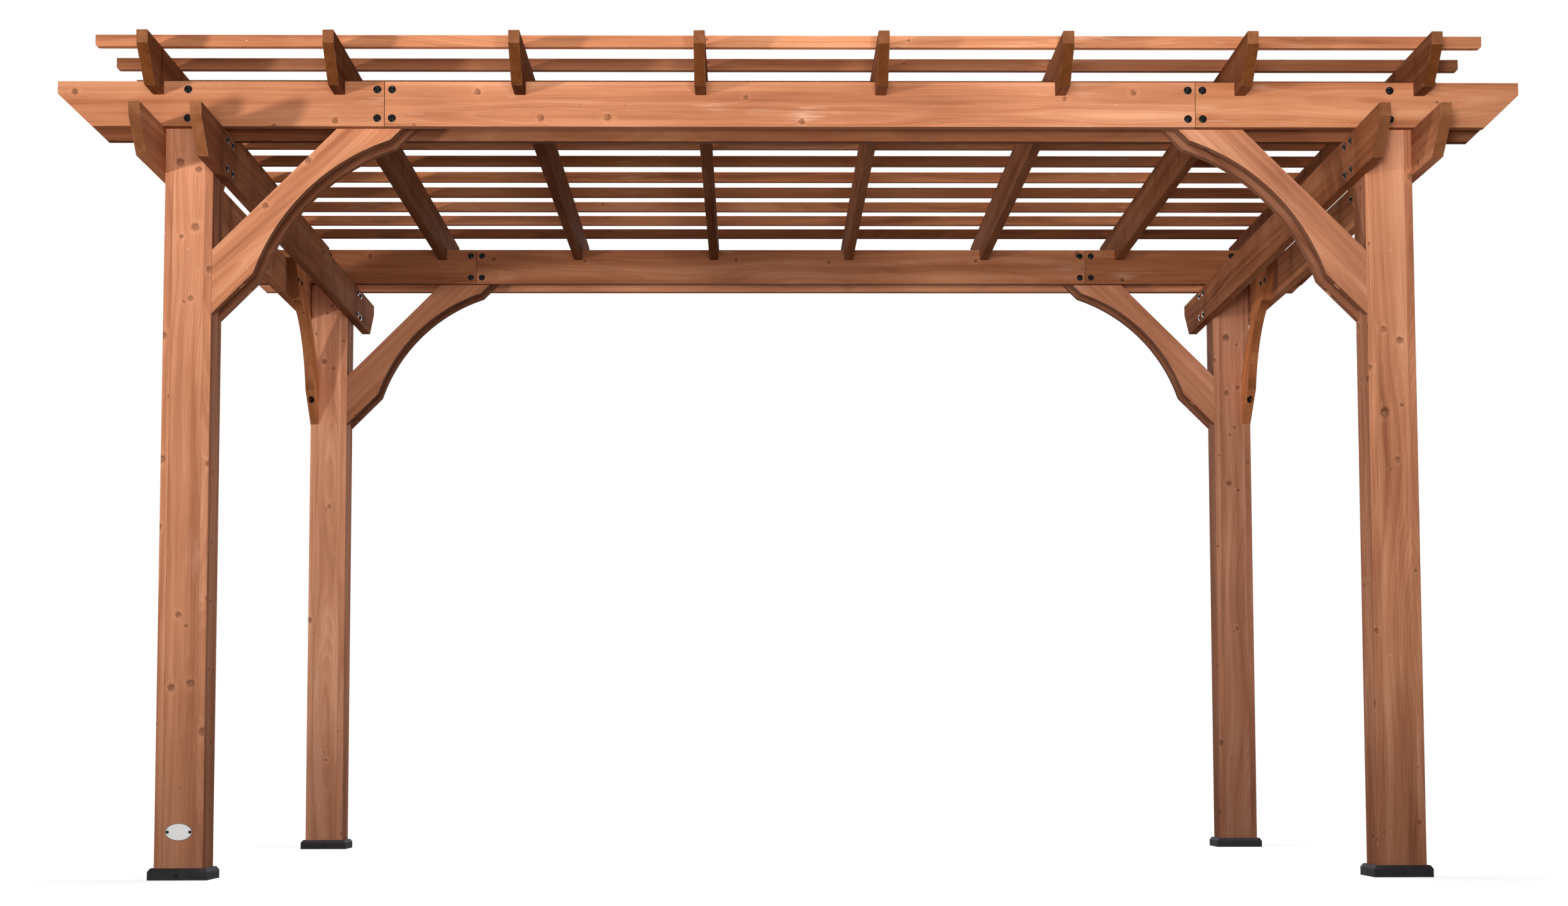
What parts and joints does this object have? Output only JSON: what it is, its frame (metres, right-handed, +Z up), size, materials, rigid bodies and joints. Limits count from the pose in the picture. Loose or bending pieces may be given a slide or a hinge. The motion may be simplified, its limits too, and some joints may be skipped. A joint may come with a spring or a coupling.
{
  "type": "wooden pergola",
  "caption": "Free-standing garden pergola in stained cedar: box posts in black shoes, doubled beams with slanted ends, arched knee braces, notched rafters and open roof slats.",
  "frame": {"origin": "on the floor, midway between the four posts", "axes": "+X along the long beams to the right seen from the front, +Y to the back, +Z up"},
  "size_m": [4.272, 3.2, 2.444],
  "materials": {
    "post_wood": "stained, satin",
    "beam_wood": "stained, satin",
    "brace_wood": "stained, satin",
    "rafter_wood": "stained, satin",
    "slat_wood": "stained, satin",
    "shoe_black": "matte",
    "badge_white": "satin"
  },
  "bodies": {
    "root": {"back_beam_inner_left": "beam_wood", "back_beam_inner_middle": "beam_wood", "back_beam_inner_right": "beam_wood", "back_beam_outer_left": "beam_wood", "back_beam_outer_middle": "beam_wood", "back_beam_outer_right": "beam_wood", "badge_plate": "badge_white", "front_beam_inner_left": "beam_wood", "front_beam_inner_middle": "beam_wood", "front_beam_inner_right": "beam_wood", "front_beam_outer_left": "beam_wood", "front_beam_outer_middle": "beam_wood", "front_beam_outer_right": "beam_wood", "long_brace_back_left": "brace_wood", "long_brace_back_right": "brace_wood", "long_brace_front_left": "brace_wood", "long_brace_front_right": "brace_wood", "post_back_left": "post_wood", "post_back_right": "post_wood", "post_front_left": "post_wood", "post_front_right": "post_wood", "rafter_1": "rafter_wood", "rafter_2": "rafter_wood", "rafter_3": "rafter_wood", "rafter_4": "rafter_wood", "rafter_5": "rafter_wood", "rafter_6": "rafter_wood", "rafter_7": "rafter_wood", "rafter_8": "rafter_wood", "roof_slats_1": "slat_wood", "roof_slats_2": "slat_wood", "roof_slats_3": "slat_wood", "roof_slats_4": "slat_wood", "shoe_back_left": "shoe_black", "shoe_back_right": "shoe_black", "shoe_front_left": "shoe_black", "shoe_front_right": "shoe_black", "side_beam_left_inner": "beam_wood", "side_beam_left_outer": "beam_wood", "side_beam_right_inner": "beam_wood", "side_beam_right_outer": "beam_wood", "side_brace_back_left": "brace_wood", "side_brace_back_right": "brace_wood", "side_brace_front_left": "brace_wood", "side_brace_front_right": "brace_wood"}
  },
  "joints": []
}
